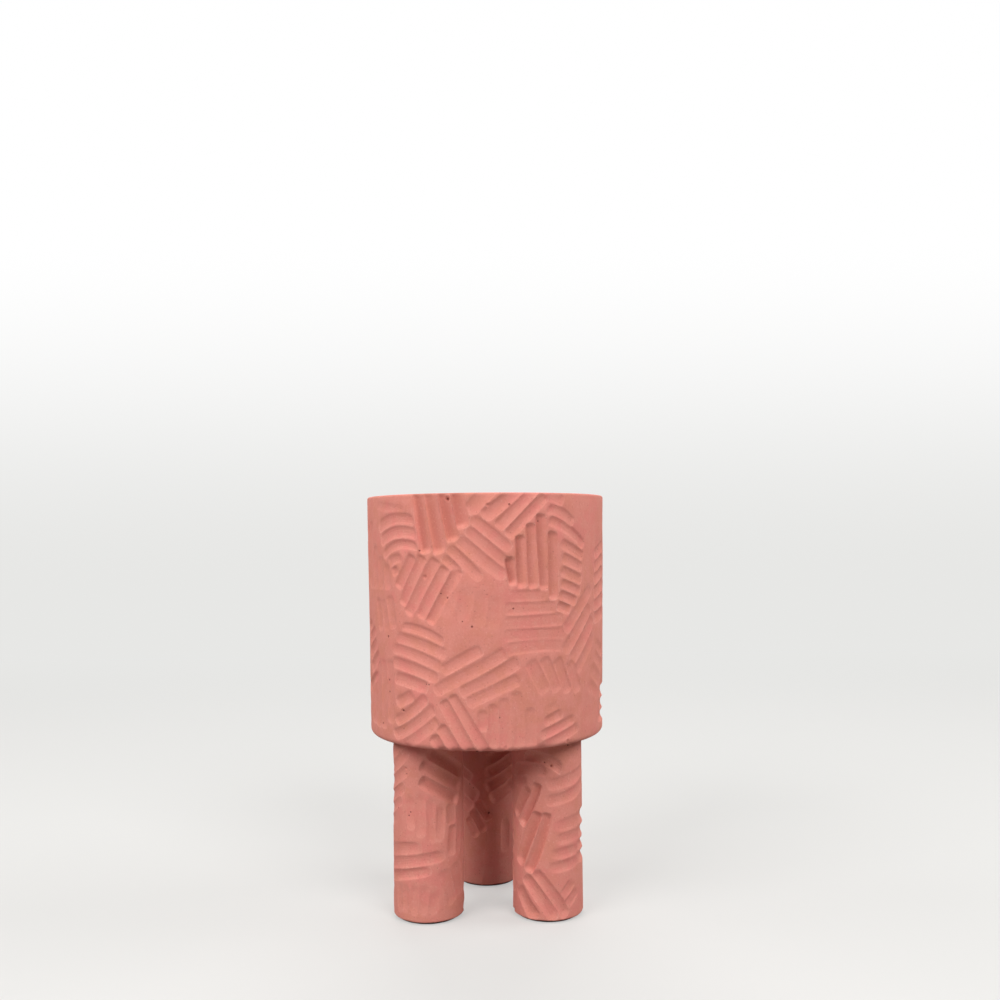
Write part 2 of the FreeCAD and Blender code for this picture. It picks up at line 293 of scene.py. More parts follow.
def patchStrokes(look, radius, rng):
    # The unrolled wall is shared among jittered seeds, each point going to its nearest seed. Each seed's own
    # patch is filled with parallel strokes at one slant, cut at the lines halfway to the other seeds.
    look = dict(patchLook, **look)
    length, rise = math.radians(fullTurn) * radius, look["top"] - look["bottom"]
    across, up = round(length / look["patch"]), round(rise / look["patch"])
    column, row = np.meshgrid(np.arange(across), np.arange(up))
    shift = rng.uniform(-look["jitter"], look["jitter"], (2, up, across))
    seeds = np.stack([(column + look["rowShift"] * (row % 2) + shift[0]) * length / across,
                      look["bottom"] + (row + 0.5 + shift[1]) * rise / up], -1).reshape(-1, 2)
    around = np.concatenate([seeds + (way * length, 0) for way in (-1, 0, 1)])
    first, last = (math.radians(angle) * radius for angle in look["between"])
    walls = [((first, 0), (-1, 0)), ((last, 0), (1, 0)),
             ((0, look["bottom"] - look["beyond"]), (0, -1)), ((0, look["top"] + look["beyond"]), (0, 1))]
    rows = []
    for i, seed in enumerate(seeds):
        share = (i * look["slantStep"] + look["slantSpread"] * rng.random()) % 1
        slant = math.radians(fullTurn / 2 * share)
        way = np.array([math.cos(slant), math.sin(slant)])
        side = np.array([-way[1], way[0]])
        bow = rng.uniform(-look["bow"], look["bow"])
        depth = strokeLook["depthScale"] * look["depth"] * rng.uniform(*look["depthRange"])
        offset = rng.uniform(-look["offset"], look["offset"])
        others = around[np.linalg.norm(around - seed, axis=1) > tiny]
        cuts = [((seed + other) / 2, other - seed) for other in others] + walls
        middles, outward = np.array([c[0] for c in cuts]), np.array([c[1] for c in cuts], float)
        for j in range(-look["mostStrokes"], look["mostStrokes"] + 1):
            start = seed + side * (j + offset) * look["pitch"] * rng.uniform(*look["pitchRange"])
            ends = rng.uniform(*look["endGap"], 2)
            for turn in (-length, 0, length):
                here = start + (turn, 0)
                reach, speed = ((middles - here) * outward).sum(1), outward @ way
                with np.errstate(divide="ignore", invalid="ignore"):
                    cut = reach / speed
                high = np.min(np.where(speed > tiny, cut, np.inf)) - ends[0]
                low = np.max(np.where(speed < -tiny, cut, -np.inf)) + ends[1]
                if high - low < look["shortest"]:
                    continue
                a, b = here + way * low, here + way * high
                bend = side * bow * (high - low)
                rows.append((*onWall(a, radius), *onWall(b, radius), *onWall(bend, radius),
                             *uneven(depth, strokeLook["halfWidth"], rng),
                             strokeLook["roundness"], rng.uniform(*look["fadeRange"]), strokeLook["lean"]))
    return rows


def carve(strokes, angles, heights, radius, rest, rng):
    # Depth in millimetres at each angle and height: the soft maximum of a resting depth and of every stroke.
    # A stroke is depth * (1 - (distance / halfWidth) ** roundness) about its bowed line, with rounded ends
    # and a depth that grows and falls away smoothly over its fade.
    look, perDegree = strokeLook, math.radians(1) * radius
    total = np.exp(look["softness"] * rest)
    best = np.array(rest)
    marks = np.zeros(rest.shape + (3,))
    for number, stroke in enumerate(strokes):
        a0, z0, a1, z1, bendAcross, bendUp, depth, halfWidth, roundness, fade, lean = stroke
        middle, phase = (a0 + a1) / 2, rng.uniform(0, 2 * math.pi)
        margin = halfWidth * look["margin"] + math.hypot(bendAcross * perDegree, bendUp)
        turn = wrapAngle(angles - middle) * perDegree
        columns = np.flatnonzero(np.abs(turn) < abs(a1 - a0) / 2 * perDegree + margin)
        rows = np.flatnonzero((heights > min(z0, z1) - margin) & (heights < max(z0, z1) + margin))
        if not len(columns) or not len(rows):
            continue
        here = np.ix_(rows, columns)
        u, v = turn[columns][None, :], heights[rows][:, None]
        start = np.array([(a0 - middle) * perDegree, z0])
        run = np.array([(a1 - a0) * perDegree, z1 - z0])
        length = np.linalg.norm(run)
        way = run / length
        along = (u - start[0]) * way[0] + (v - start[1]) * way[1]
        share = np.clip(along / length, 0, 1)
        bow = bendUp * way[0] - bendAcross * perDegree * way[1]
        across = (v - start[1]) * way[0] - (u - start[0]) * way[1] - bow * 4 * share * (1 - share)
        across = across + look["wobble"] * np.sin(along / look["wobbleLength"] + phase)
        pull = min(look["endPull"] * halfWidth, look["endPullMost"] * length)
        over = np.maximum(np.maximum(pull - along, along - length + pull), 0)
        offset = across / halfWidth - lean
        reach = np.hypot(offset / np.where(offset > 0, 1 - lean, 1 + lean), over / halfWidth)
        sink = smooth(look["fadeFrom"] * halfWidth, fade, np.minimum(along, length - along))
        local = depth * sink * (1 - look["endTaper"] * (2 * share - 1) ** 2) * (1 - reach ** roundness)
        total[here] += np.exp(look["softness"] * np.clip(local, look["lowest"], None))
        wins = local > best[here]
        best[here] = np.where(wins, local, best[here])
        strength = np.clip((look["markReach"] - reach) * look["markEdge"], 0, 1)
        strength = strength * min(1.0, depth / look["markDepth"]) ** look["markPower"]
        mark = np.stack(np.broadcast_arrays(across, along + look["markStep"] * number, strength), -1)
        marks[here] = np.where(wins[..., None], mark, marks[here])
    return np.log(total) / look["softness"], marks


# the low rim round a dent: its height as a share of the dent's depth, its place and width in dent radii
dentRim = {"share": 0.16, "place": 1.25, "width": 0.22}


def addDents(depth, dents, angles, heights, radius):
    # A dent adds a bowl of its depth inside its radius and takes away a low rim just outside it.
    for angle, height, size, deep in dents:
        across = wrapAngle(angles - angle)[None, :] * math.radians(1) * radius
        reach = np.hypot(across, heights[:, None] - height) / size
        rim = dentRim["share"] * np.exp(-((reach - dentRim["place"]) / dentRim["width"]) ** 2)
        depth = depth + deep * (np.clip(1 - reach ** 2, 0, 1) - rim)
    return depth


def addSeam(depth, seam, angles, heights, radius):
    # A raised line: its height times a bell curve of the way to the line, fading in over the seam's top end.
    if not seam:
        return depth
    line = np.interp(heights, seam["heights"], seam["angles"])[:, None]
    across = wrapAngle(angles[None, :] - line) * math.radians(1) * radius
    share = smooth(seam["fadeTop"], seam["fadeTop"] - seam["fadeLength"], heights)[:, None]
    return depth - seam["rise"] * share * np.exp(-(across / seam["halfWidth"]) ** 2)


# the uneven resting face between the strokes
restLook = {"wavesOfEachSize": 3, "unevenness": 0.55, "sizes": (70, 40)}


def waves(angles, heights, sizes, rng):
    # A sum of sine waves of a few lengths round and up the wall, with random slants and starts, -1 to 1.
    total = np.zeros((len(heights), len(angles)))
    for size in sizes:
        for repeat in range(restLook["wavesOfEachSize"]):
            around = rng.integers(1, max(2, round(fullTurn / size)) + 1)
            upward = rng.uniform(-1, 1) / size
            total += np.sin(np.radians(around * angles)[None, :] + 2 * math.pi * upward * heights[:, None]
                            + rng.uniform(0, 2 * math.pi))
    return total / (restLook["wavesOfEachSize"] * len(sizes))


def carvedWall(points, facing, strokes, angles, centre, radius, hold, restDepth, rng, dents=(), seam=None):
    # The outline carried round the axis, each point moved in along its normal by the carved depth.
    # The height that the carving reads runs on round the edges, so strokes run off them.
    along = walkedLength(points)
    lowest, highest = np.flatnonzero(facing[:, 0] > wallShare)[[0, -1]]
    heights = along - along[lowest] + points[lowest, 1]
    rest = restDepth * (1 + restLook["unevenness"] * waves(angles, heights, restLook["sizes"], rng))
    depth, marks = carve(strokes, angles, heights, radius, rest, rng)
    depth = addDents(depth, dents, angles, heights, radius)
    depth = addSeam(depth, seam, angles, heights, radius)
    depth = depth * hold[:, None]
    # above the wall the way in stays level, so a stroke cuts through the rim and doesn't fold over there
    inward = np.where(np.arange(len(points))[:, None] > highest, facing[highest], facing)
    moved = points[:, None, :] - inward[:, None, :] * depth[..., None]
    grid = ring(moved[..., 0], moved[..., 1], angles[None, :], centre)
    values = np.concatenate([depth[..., None], marks], -1)
    values[..., 3] *= hold[:, None]
    return grid, values, depth


# the pot: lengths in millimetres, as in the part
potShape = {
    "underside": 101.0, "top": 239.5, "baseRadius": 69.0, "rimRadius": 71.0,
    "lowerRounding": 3.4, "rimRounding": 1.3, "rimInnerRounding": 1.3,
    "wall": 9.0, "cavityFloorRadius": 60.5, "floorTop": 115.0, "floorRounding": 8.0,
    "drainRadius": 8.0, "drainDish": 2.0, "socketRadius": 21.0, "socketTop": 104.0, "pinHoleTop": 110.3,
    "carvedRadius": 70.0,            # the radius at which the strokes' angles become lengths
    "restDepth": 0.28,               # how deep the face lies where no stroke is
    "holdLow": (0, 3), "holdHigh": (0.5, 8.0),    # the carving fades out over these, from the outline's ends
    # the mesh: columns, the lengths of its steps along each run, and steps to a rounding
    "columns": 840, "wallSteps": (1.0, 0.53, 0.95), "cavitySteps": (2.0, 9.0, 9.0, 1.5, 4.0), "arcSteps": 5,
    "undersideRun": 3, "rimRun": 0.3, "undersideInset": 4, "undersideSteps": 15,
    "loopShares": (1, 0.6, 0.3, 0), "socketRing": 10.3,
}

# the front of the pot, read one by one: depth, then strokes as start, (middle) and end,
# each an angle from the front in degrees and a height in millimetres
potFront = [
    (2.1, [(-32.2, 240.5, -30.5, 229, -27.3, 207.5), (-25.8, 240.5, -24, 229, -20.8, 207.5),
           (-18.9, 240.5, -17.7, 231, -14.5, 214), (-12.7, 240.5, -9.8, 221)],
     {"lean": -0.6, "fade": 3.0}),
    (0.9, [(-58.5, 221.5, -47, 225.7, -34.5, 225), (-56.8, 213.5, -46, 218.6, -33, 218),
            (-54.8, 206, -44.5, 211.6, -32.5, 210.5), (-50.8, 201, -46.5, 204, -42, 204.8),
            (-48.3, 196.5, -44, 198.3)]),
    (0.5, [(-61, 234.5, -39.5, 230.5)]),
    (1.15, [(-35.2, 206, -44.3, 188), (-29.3, 205.5, -41.8, 179), (-23, 204, -38, 173.5),
            (-18.2, 199.5, -31.5, 172.5), (-12.2, 198.5, -26.5, 169.5)]),
    (1.0, [(-7.2, 227, 11, 208.3), (-9, 220.7, 10.2, 200), (-12.8, 215.2, 8.5, 193.8),
           (-17.5, 211, -2, 192.5), (-20, 206.3, -11, 196)], {"fade": 5.0}),
    (1.1, [(-7.8, 229.5, 6.3, 247), (-1, 226.5, 20.9, 247), (5, 221, 26.5, 247), (9.5, 216, 27, 238)]),
    (1.75, [(10.2, 205, 12.2, 190), (15, 216.5, 15.2, 205, 16.4, 188.5), (19.8, 223, 20.4, 208, 21.5, 188),
           (24.9, 228, 25.8, 210, 26.8, 187), (31.3, 218.5, 31.5, 181.5)],
     {"lean": -0.55, "fade": 3.0}),
    (0.95, [(29.5, 238.5, 37, 235), (28.5, 231, 36, 228.5, 43, 222.5), (29, 224.5, 40, 219.3, 51, 210.5),
           (36, 212, 50.5, 204.5), (36, 204.3, 49.5, 198), (35.7, 197.2, 49, 191), (35.5, 190.2, 48, 184.8),
           (34.5, 184, 45.5, 179.5), (33.5, 178.2, 41, 174.8)]),
    (0.5, [(10, 184.2, 28, 183.7), (7.5, 177.3, 33, 177.3), (7.5, 169.8, 37, 170.5), (7.5, 162.8, 38, 163.2),
            (8.5, 155.7, 21, 156.9, 37, 156)], {"roundness": 5.0, "fade": 3.0}),
    (0.9, [(37.5, 163.5, 57.5, 187.5), (37, 151.8, 57, 177), (41.5, 147, 60, 170)], {"fade": 4.0}),
    (0.75, [(43, 137.5, 62, 161)], {"fade": 7.0}),
    (0.95, [(62, 205, 77, 211), (61.5, 197.5, 77, 203), (61.2, 190.5, 77, 196), (61.2, 183, 77, 188.5),
            (60.5, 175.5, 77, 180), (61.2, 169, 77, 171.5)], {"fade": 3.0}),
    (0.75, [(64, 155, 75, 147.5), (61.5, 149, 74, 139.5), (57.5, 141.5, 71, 131.5), (55, 133, 67, 125)],
     {"fade": 4.0}),
    (1.35, [(69, 125.3, 96, 125.3), (68, 118, 96, 117.8), (67, 111.3, 96, 111.3)], {"fade": 7.0}),
    (0.45, [(47.8, 130, 47.5, 116), (54, 129.5, 53.5, 109), (60.5, 129.5, 60, 109)],
     {"roundness": 4.0, "fade": 6.0}),
    (0.78, [(-42, 166.8, -32, 165.6, -19.5, 159.3), (-45.5, 161.3, -34, 159, -18.5, 152.7),
            (-48.5, 154.5, -36, 152.4, -21, 146), (-49, 147.4, -36, 144.9, -22.5, 139.5),
            (-47, 138.4, -37, 137.2, -28, 134.8)]),
    (0.82, [(-20.5, 144.3, -2.5, 155.8), (-24, 133, -8, 143.3, 8, 154.3), (-12, 132.8, 0, 139.6, 14, 149),
           (-9, 127.6, 2, 133.4, 14.5, 139.6)]),
    (0.85, [(-46, 124.5, -36, 130.3), (-47, 114.8, -38, 120.4, -28.5, 129.3),
           (-48, 106.8, -37, 112.8, -25, 124.3), (-42, 101.5, -33, 108.7, -23, 117.5)]),
    (1.2, [(-16.5, 131, 1.5, 98), (-20.5, 128, -6, 98), (-22, 114.5, -12.5, 98), (-25.3, 109, -20, 99)]),
    (0.75, [(-2.2, 124, -2.2, 112), (2.2, 127, 2.3, 103), (7.6, 130.3, 7.8, 103),
            (12.4, 133.3, 14.2, 120, 14, 103), (19.6, 124.5, 19.5, 103)], {"roundness": 3.0, "fade": 3.0}),
    (0.4, [(13.8, 144, 19, 131.5)], {"roundness": 4.0, "fade": 4.0}),
    (0.75, [(19.3, 149.3, 22.5, 142, 27, 131), (26, 150.5, 29, 144, 33.5, 131),
            (33.2, 149.5, 36, 141.5, 40, 130), (40.5, 147.5, 46.8, 129.5)], {"roundness": 4.5, "fade": 3.0}),
    (0.45, [(26, 121.7, 35, 124.3)], {"fade": 4.0}),
    (0.75, [(25.5, 114.8, 37, 119.8), (24, 108, 44.5, 116.2), (22, 101.5, 35, 106, 47.5, 110.7)],
     {"fade": 4.0}),
    (1.0, [(-80, 162.8, -71.4, 166.5), (-76.6, 156.8, -65.5, 162.8), (-75.9, 148, -64.4, 155.9),
           (-72.9, 139.8, -61.4, 149.5), (-80.4, 127.9, -62.5, 138.9)]),
    (0.8, [(-69, 134, -69, 110), (-62.8, 147, -62.8, 109), (-57, 148, -56.8, 109), (-51.2, 148, -50.8, 113)],
     {"roundness": 4.0, "fade": 3.0}),
    (0.75, [(-61.8, 182, -58.7, 163), (-56.8, 182, -53.3, 163), (-51.3, 184, -48, 165)],
     {"roundness": 4.0, "fade": 3.0}),
    (0.55, [(-14, 192, -17, 182, -21, 171), (-8.5, 192, -9.5, 181, -12, 168), (-2.5, 190, -2.5, 179, -4, 166),
            (3.5, 187, 3.5, 177, 2, 164)], {"roundness": 3.0, "fade": 8.0}),
    (0.85, [(-76, 224, -75.5, 188), (-70, 226, -70, 186), (-64.4, 212, -64.4, 186), (-58.5, 206, -58.5, 186),
           (-53, 202, -52.5, 186)], {"roundness": 4.0, "fade": 4.0}),
]

# air bubbles that broke open at the surface: angle, height, radius and depth
potDents = [
    (-17.3, 236.2, 1.5, 1.0), (-29, 194.3, 1.2, 0.5), (0.5, 232.8, 1.2, 0.6), (-42.2, 121, 1.1, 0.7),
    (39.5, 103.6, 1.3, 0.7), (8, 103.4, 1.3, 0.5), (118, 206, 1.2, 0.7), (203, 221, 1.3, 0.8),
]
# the small ones: angle, height and radius; each also shows on the side across from it
potPores = [
    (-17.8, 183.3, 0.65), (-20.8, 185.5, 0.45), (-6.6, 168, 0.7), (-52, 160.7, 0.8), (-31.2, 208.5, 0.5),
    (-52.4, 136.5, 0.6), (-52.3, 130, 0.6), (10.2, 233, 0.7), (11.7, 177.3, 0.6), (-28.5, 136.5, 0.45),
    (-27, 136.5, 0.45), (-17.3, 236.2, 0.8), (-42.2, 121, 0.6), (24, 224, 0.5), (96, 148, 0.6),
    (70, 208, 0.6),
]

# the unseen sides and back, filled with patches of the same strokes
potBack = {
    "patch": 37.0, "jitter": 0.2, "pitch": 7.1, "depth": 1.1, "endGap": (0.4, 3.2), "shortest": 9.0,
    "bottom": 101.0, "top": 240.0, "between": (80, 280),
}


def buildPot(material, rng):
    # The carved outline carried round, the plain cavity inside it, and an underside with three sockets.
    shape = potShape
    radius = shape["carvedRadius"]
    strokes = handStrokes(potFront, radius, rng) + patchStrokes(potBack, radius, rng)
    angles = evenAngles(shape["columns"])
    coarseAngles = angles[::2]
    shell = Shell()

    # outer wall with both roundings, from the underside to the rim's top
    undersideEdge = shape["baseRadius"] - shape["lowerRounding"]
    rimInside = shape["rimRadius"] - shape["wall"]
    rimTop = rimInside + shape["rimInnerRounding"]
    corners = [(undersideEdge - shape["undersideRun"], shape["underside"]),
               (shape["baseRadius"], shape["underside"]),
               (shape["rimRadius"], shape["top"]), (rimTop + shape["rimRun"], shape["top"])]
    roundings = [shape["lowerRounding"], shape["rimRounding"]]
    points, facing = roundedOutline(corners, roundings, shape["wallSteps"], shape["arcSteps"])
    walked = walkedLength(points)
    hold = smooth(*shape["holdLow"], walked) * smooth(*shape["holdHigh"], walked[-1] - walked)
    wall, values, depth = carvedWall(points, facing, strokes, angles, (0, 0), radius,
                                     hold, shape["restDepth"], rng, potDents)
    outer = shell.add(wall, values)
    shell.faces(gridTriangles(outer, depth))

    # rim's inner edge, cavity, floor, dish and drain hole
    corners = [(rimTop, shape["top"]), (rimInside, shape["top"]),
               (shape["cavityFloorRadius"], shape["floorTop"]),
               (shape["drainRadius"] + shape["drainDish"], shape["floorTop"]),
               (shape["drainRadius"], shape["floorTop"] - shape["drainDish"]),
               (shape["drainRadius"], shape["underside"])]
    roundings = [shape["rimInnerRounding"], shape["floorRounding"], 0, 0]
    points = roundedOutline(corners, roundings, shape["cavitySteps"], shape["arcSteps"])[0]
    inner = shell.add(ring(points[:, 0:1], points[:, 1:2], coarseAngles[None, :]))
    shell.faces(gridTriangles(inner))
    shell.faces(halveRing(outer[-1], inner[0]))

    # underside: round each socket, loops run from the edge of its third of the floor in to its mouth
    under, edgeRadius = shape["underside"], undersideEdge - shape["undersideInset"]
    shell.faces(doubleRing(shell.add(ring(edgeRadius, under, coarseAngles)), outer[0]))
    third = fullTurn / len(legTurns)
    count = len(coarseAngles) // len(legTurns)
    lines = np.linspace(edgeRadius, shape["drainRadius"], shape["undersideSteps"])[1:-1]
    level = lines * 0
    for turn in legTurns.values():
        centre = ring(legSpread, under, turn)
        arc = turn - third / 2 + third * np.arange(count + 1) / count
        edge = np.concatenate([ring(edgeRadius, under, arc), ring(lines, under, level + arc[-1]),
                               ring(shape["drainRadius"], under, arc[::-1]),
                               ring(lines[::-1], under, level + arc[0])])
        away = edge - centre
        reach = np.linalg.norm(away, axis=1, keepdims=True)
        way = away / reach
        rings = [centre + way * (shape["socketRadius"] + (reach - shape["socketRadius"]) * share)
                 for share in shape["loopShares"]]
        socket = [(shape["socketRadius"], shape["socketTop"]), (shape["socketRing"], shape["socketTop"]),
                  (pinHoleRadius, shape["socketTop"]), (pinHoleRadius, shape["pinHoleTop"])]
        rings += [centre + way * socketRadius + (0, 0, height - under) for socketRadius, height in socket]
        ids = shell.add(np.stack(rings))
        # the loop runs the other way round, so its rows are turned over
        shell.faces(gridTriangles(ids)[:, ::-1])
        shell.closeRing(ids[-1][::-1], centre + (0, 0, shape["pinHoleTop"] - under), False)
    return shell.piece("carved_pot", material, "cast_concrete")


# the legs: lengths in millimetres
legShape = {
    "radius": 20.5, "bottom": 1.0, "top": 103.0, "footRounding": 1.4, "topBevel": 0.8, "pinHoleDepth": 30.3,
    "restDepth": 0.3,
    "holdTop": (101.5, 98.5),    # heights over which the carving goes out under the pot
    "holdFoot": (5, 2),          # the same round the foot, as lengths before the wall
    "soleRadius": 3, "pinEndRadius": 1,
    "columns": 288, "steps": (3.0, 0.45, 0.9, 6.0, 10.0, 2.0), "arcSteps": 6,
}

# each leg's seen strokes, as angles about the leg's own axis
legFront = {
    "front_left": [
        (1.8, [(4, 96, 70, 81.5), (-9, 88.6, 66, 74.3), (-10, 80.2, 58, 66.8)], {"fade": 3.0}),
        (0.9, [(-98, 81, -55, 88.5, -28, 97), (-98, 73.5, -55, 80, -27, 87.5), (-98, 66, -55, 72, -36, 77.5),
               (-98, 58.5, -42, 69)], {"fade": 6.0}),
        (0.5, [(-98, 51, -48, 59.5)], {"fade": 8.0}),
        (0.75, [(-27, 74, -27, 50), (-11, 76, -10, 46), (6, 73, 8, 43), (24, 68, 20, 44)],
         {"roundness": 2.6, "fade": 8.0}),
        (0.75, [(42, 66, 43, 54)]),
        (0.95, [(47, 54, 42, 37)], {"fade": 3.0}),
        (0.85, [(-88, 37, -45, 40.5, -2, 43), (-90, 29, -30, 35, 36, 38), (-88, 21.5, -40, 27, 12, 30.6)],
         {"fade": 8.0}),
        (0.7, [(-50, 24, -50, 3), (-36, 24, -40, 3), (-20, 25, -23, 3), (-4, 25, -8, 3), (14, 22, 8, 3)],
         {"roundness": 2.6, "fade": 8.0}),
        (0.8, [(22, 30.5, 36, 23, 44, 9), (50, 33, 62, 13)], {"roundness": 3.0, "fade": 5.0}),
        (0.5, [(62, 58, 55, 34), (78, 58, 70, 28)], {"fade": 7.0}),
    ],
    "front_right": [
        (1.2, [(-42, 92, -10, 91, 21, 84.5), (-66, 82.8, -40, 85, -4, 84)], {"fade": 3.0}),
        (0.7, [(-75, 77, -36, 77.5)], {"fade": 4.0}),
        (1.75, [(-36, 74.5, -66, 57.5), (-19, 77.5, -32, 66, -50, 53.2), (-19, 61.5, -35, 48, -56, 31.5),
               (-4, 61, -15, 46.5, -37, 27.5)], {"lean": 0.45, "fade": 3.0, "roundness": 2.4}),
        (0.4, [(24, 95, 50, 88)], {"fade": 4.0}),
        (0.8, [(-7, 76.2, 15, 77, 90, 84), (-10, 67, 12, 67.8, 90, 77)], {"fade": 6.0}),
        (0.6, [(5, 53, 30, 54.5, 80, 57), (2, 45.6, 30, 46.6, 80, 48), (-6, 38, 18, 38.2, 60, 39.5),
               (-8, 31, 18, 31.2, 60, 33)], {"fade": 6.0}),
        (1.2, [(52, 56.3, 110, 56.5), (52, 48, 110, 47.8), (50, 40.5, 110, 41.5), (48, 33.5, 110, 34.8)],
         {"fade": 7.0}),
        (1.3, [(-25, 28.8, -1, 18, 27, 3), (-43, 25.3, -20, 16, 8, 2.5), (-56, 18.3, -42, 11, -22, 2.5)],
         {"fade": 4.0}),
        (0.55, [(20, 14, 42, 22.5), (24, 8.5, 52, 17)], {"roundness": 4.0, "fade": 4.0}),
    ],
    "rear": [
        (1.8, [(2, 77.5, 50, 86), (-2, 68.5, 50, 78), (-3, 60.8, 50, 70), (6, 53.5, 50, 62)], {"fade": 3.0}),
        (1.8, [(-65, 73, -30, 65.8), (-65, 65, -33, 59, -19, 54.8), (-65, 56, -29, 47.8)], {"fade": 2.0}),
        (1.6, [(-37, 41.5, -20, 31), (-27, 46.7, -5, 34.8), (-17, 52.5, 3, 41.3)], {"fade": 2.0}),
        (0.8, [(33, 44, 33, 18)], {"fade": 9.0}),
    ],
}
legDents = {
    "front_left": [(-37, 86, 1.0, 0.5), (140, 70, 1.0, 0.6)],
    "front_right": [(4, 87, 1.0, 0.6), (151, 52, 1.0, 0.6)],
    "rear": [(3, 45, 1.1, 0.8), (95, 66, 1.0, 0.6), (204, 80, 1.1, 0.7)],
}
legPores = {
    "front_left": [(-35, 83, 0.5), (-28, 62, 0.5), (-31, 60, 0.45), (-54, 63, 0.5)],
    "front_right": [(33, 98, 0.6), (-7, 89, 0.45), (4, 87, 0.6)],
    "rear": [(3, 45, 0.7)],
}
# the line left by the joint of the leg's mould, standing a little proud and wandering towards the foot
rearSeam = {
    "heights": (0, 3, 10, 18, 24, 33, 50), "angles": (-11.5, -10.5, -6.5, -5, -3, -1.5, -1),
    "rise": 0.32, "halfWidth": 0.7, "fadeTop": 48.0, "fadeLength": 14,
}
legBack = {
    "patch": 28.0, "jitter": 0.2, "pitch": 7.0, "depth": 1.0, "endGap": (0.3, 2.2), "shortest": 7.0,
    "bottom": 0.0, "top": 103.0,
    "between": {"front_left": (82, 282), "front_right": (96, 288), "rear": (58, 302)},
}


def buildLeg(name, material, rng):
    # The carved outline from the sole up the wall, over the top and down into the pin hole, carried round.
    shape = legShape
    radius, top, centre = shape["radius"], shape["top"], legCentre(name)
    back = dict(legBack, between=legBack["between"][name])
    strokes = handStrokes(legFront[name], radius, rng) + patchStrokes(back, radius, rng)
    shell = Shell()
    pinHoleEnd = top - shape["pinHoleDepth"]
    corners = [(shape["soleRadius"], shape["bottom"]), (radius, shape["bottom"]),
               (radius, top - shape["topBevel"]), (radius - shape["topBevel"], top), (pinHoleRadius, top),
               (pinHoleRadius, pinHoleEnd), (shape["pinEndRadius"], pinHoleEnd)]
    roundings = [shape["footRounding"], 0, 0, 0, 0]
    points, facing = roundedOutline(corners, roundings, shape["steps"], shape["arcSteps"])
    walked = walkedLength(points)
    upright = facing[:, 0] > wallShare
    hold = np.where(upright, smooth(*shape["holdTop"], points[:, 1]), 0)
    first = np.argmax(upright)
    hold[:first] = smooth(*(walked[first] - length for length in shape["holdFoot"]), walked[:first])
    wall, values, depth = carvedWall(points, facing, strokes, evenAngles(shape["columns"]), centre, radius,
                                     hold, shape["restDepth"], rng, legDents[name],
                                     rearSeam if name == "rear" else None)
    ids = shell.add(wall, values)
    shell.faces(gridTriangles(ids, depth))
    shell.closeRing(ids[0], (*centre, points[0, 1]), True)
    shell.closeRing(ids[-1], (*centre, points[-1, 1]), False)
    return shell.piece(f"carved_{name}_leg", material, "cast_concrete")


# the felt discs under the feet: lengths in millimetres
padShape = {
    "radius": 18.0, "thickness": 1.0, "rounding": 0.42, "unevenness": 0.25, "waveSizes": (60, 24, 9),
    "middleRadius": 2, "rimFrom": 10, "wavesFrom": 8, "columns": 120, "steps": (4.0, 0.2, 4.0), "arcSteps": 4,
}


def buildPad(name, material, rng):
    # A disc's rounded outline carried round, its radius let out and in by slow waves at the rim alone.
    shape = padShape
    centre, angles, middle = legCentre(name), evenAngles(shape["columns"]), shape["middleRadius"]
    radius, top = shape["radius"], shape["thickness"]
    corners = [(middle, 0), (radius, 0), (radius, top), (middle, top)]
    points = roundedOutline(corners, [shape["rounding"]] * 2, shape["steps"], shape["arcSteps"])[0]
    points = points - (shape["unevenness"], 0) * (points[:, 0:1] > shape["rimFrom"])
    rim = waves(angles, points[:, 1] * 0, shape["waveSizes"], rng)
    radii = points[:, 0:1] + shape["unevenness"] * rim * smooth(shape["wavesFrom"], radius, points[:, 0:1])
    shell = Shell()
    ids = shell.add(ring(radii, points[:, 1:2], angles[None, :], centre))
    shell.faces(gridTriangles(ids))
    shell.closeRing(ids[0], (*centre, 0), True)
    shell.closeRing(ids[-1], (*centre, top), False)
    return shell.piece(f"felt_{name}_pad", material, "foot_felt")


# materials

class Wire:
    # one socket's value; sums and products of wires add Math nodes
    def __init__(self, finish, socket):
        self.finish, self.socket = finish, socket

    def maths(self, operation, *values):
        return self.finish.wire("ShaderNodeMath", {"operation": operation}, dict(enumerate(values)))

    def __add__(self, other):
        return self.maths("ADD", self, other)

    def __sub__(self, other):
        return self.maths("SUBTRACT", self, other)

    def __rsub__(self, other):
        return self.maths("SUBTRACT", other, self)

    def __mul__(self, other):
        return self.maths("MULTIPLY", self, other)

    __radd__, __rmul__ = __add__, __mul__

    def least(self, other):
        return self.maths("MINIMUM", self, other)

    def most(self, other):
        return self.maths("MAXIMUM", self, other)


